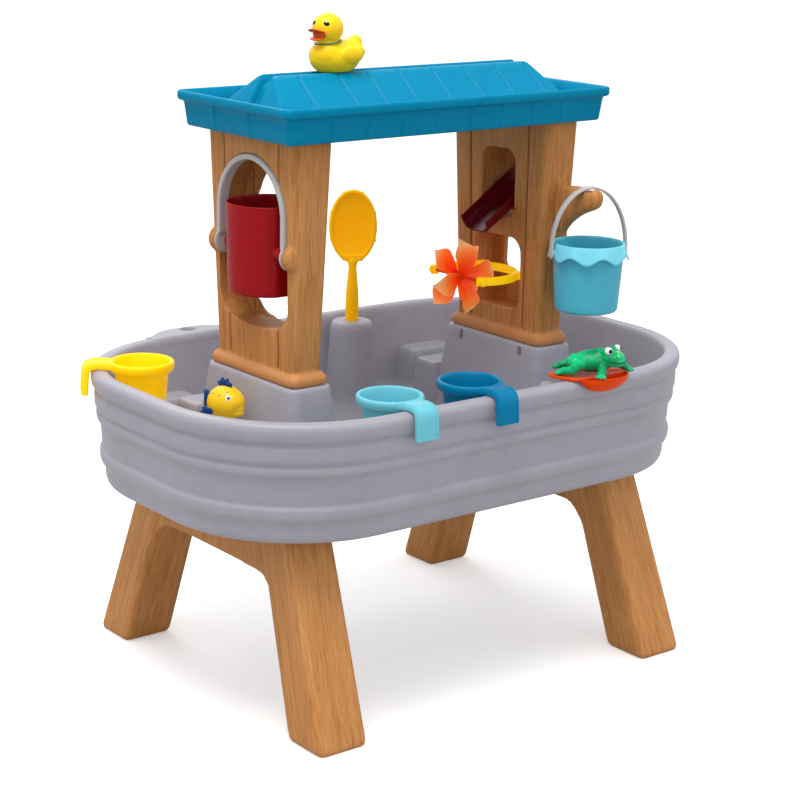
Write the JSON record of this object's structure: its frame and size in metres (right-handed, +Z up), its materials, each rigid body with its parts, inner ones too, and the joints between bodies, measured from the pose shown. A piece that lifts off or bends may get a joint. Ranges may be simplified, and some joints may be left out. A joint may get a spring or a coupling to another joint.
{
  "type": "sand and water table",
  "caption": "Outdoor play table with an oval basin on splayed legs, a two-tower tray roof, tipping bucket, chute, petal wheel, pail, cups and toys.",
  "frame": {"origin": "on the floor, below the middle of the assembled table's overall box", "axes": "+Z up, +X along the tub's length towards the tower with the chute, -Y towards the front side where the cups and the launcher sit"},
  "size_m": [0.891, 0.6186, 0.9625],
  "materials": {
    "tub_grey_plastic": "blow-moulded grey plastic with a faint orange-peel skin",
    "tan_plastic": "tan moulded plastic with a vertical wood-grain texture",
    "blue_plastic": "satin blue moulded plastic with plank seams",
    "red_plastic": "satin dark-red plastic",
    "dark_red_plastic": "satin dark-red plastic",
    "pale_grey_plastic": "satin pale grey plastic",
    "yellow_plastic": "glossy yellow plastic",
    "orange_plastic": "glossy orange plastic",
    "spoon_orange_plastic": "glossy deep-orange plastic",
    "sky_blue_plastic": "glossy light-blue plastic",
    "aqua_plastic": "glossy pale-aqua plastic",
    "teal_plastic": "glossy teal plastic",
    "green_plastic": "soft green squeeze-toy vinyl",
    "fish_yellow_plastic": "soft yellow squeeze-toy vinyl with blue fins",
    "duck_yellow_plastic": "soft yellow squeeze-toy vinyl with an orange bill",
    "netting": "open plastic netting, drawn as a thin sheet",
    "zinc_screw": "zinc-plated steel"
  },
  "bodies": {
    "table": {"tub": "tub_grey_plastic", "left_leg_frame": "tan_plastic", "right_leg_frame": "tan_plastic", "leg_screws": "zinc_screw", "left_tower": "tan_plastic", "right_tower": "tan_plastic", "tower_screws": "zinc_screw", "roof_tray": "blue_plastic", "water_chute": "dark_red_plastic", "spinner_ring": "yellow_plastic", "spinner_axle": "pale_grey_plastic", "bucket_peg": "tan_plastic", "launcher_pin": "pale_grey_plastic"},
    "tipping_bucket": {"tipping_bucket": "red_plastic", "tipping_bucket_handle": "pale_grey_plastic", "tipping_bucket_pins": "pale_grey_plastic"},
    "spinner": {"spinner_flower": "orange_plastic"},
    "pail_bail": {"pail_bail": "pale_grey_plastic"},
    "pail": {"pail": "sky_blue_plastic"},
    "launcher": {"launcher_lever": "spoon_orange_plastic"},
    "frog": {"frog": "green_plastic"},
    "yellow_cup": {"yellow_cup": "yellow_plastic"},
    "light_blue_cup": {"light_blue_cup": "aqua_plastic"},
    "teal_cup": {"teal_cup": "teal_plastic"},
    "net": {"net_frame": "yellow_plastic", "net_mesh": "netting"},
    "fish": {"fish": "fish_yellow_plastic"},
    "duck": {"duck": "duck_yellow_plastic"},
    "drain_plug": {"drain_plug": "pale_grey_plastic"}
  },
  "joints": [
    {"name": "bucket_tip", "type": "hinge", "parent": "table", "child": "tipping_bucket", "pos_m": [-0.245, 0.0013, 0.641], "axis": [0, -1, 0], "range_deg": [0, 105]},
    {"name": "flower_spin", "type": "hinge", "parent": "table", "child": "spinner", "pos_m": [0.122, 0.0013, 0.561], "axis": [0, 1, 0], "continuous": true},
    {"name": "pail_lift", "type": "slide", "parent": "table", "child": "pail_bail", "axis": [0, -0.8, 0.6], "range_m": [0, 0.15]},
    {"name": "pail_tilt", "type": "hinge", "parent": "pail_bail", "child": "pail", "pos_m": [0.232, -0.1657, 0.613], "axis": [-0.9397, 0.342, 0], "range_deg": [-4, 55]},
    {"name": "launcher_rock", "type": "hinge", "parent": "table", "child": "launcher", "pos_m": [0.1136, -0.2532, 0.4525], "axis": [-0.6561, -0.7547, 0], "range_deg": [0, 18]},
    {"name": "frog_lift", "type": "slide", "parent": "launcher", "child": "frog", "axis": [0, 0, 1], "range_m": [0, 0.05]},
    {"name": "yellow_cup_lift", "type": "slide", "parent": "table", "child": "yellow_cup", "axis": [0, 0, 1], "range_m": [0, 0.08]},
    {"name": "light_blue_cup_lift", "type": "slide", "parent": "table", "child": "light_blue_cup", "axis": [0, 0, 1], "range_m": [0, 0.12]},
    {"name": "teal_cup_lift", "type": "slide", "parent": "table", "child": "teal_cup", "axis": [0, 0, 1], "range_m": [0, 0.12]},
    {"name": "net_lift", "type": "slide", "parent": "table", "child": "net", "axis": [0, 0, 1], "range_m": [0, 0.12]},
    {"name": "fish_lift", "type": "slide", "parent": "table", "child": "fish", "axis": [0, 0, 1], "range_m": [0, 0.06]},
    {"name": "duck_lift", "type": "slide", "parent": "table", "child": "duck", "axis": [0, 0, 1], "range_m": [0, 0.1]},
    {"name": "plug_lift", "type": "slide", "parent": "table", "child": "drain_plug", "axis": [0, 0, 1], "range_m": [0, 0.05]}
  ]
}
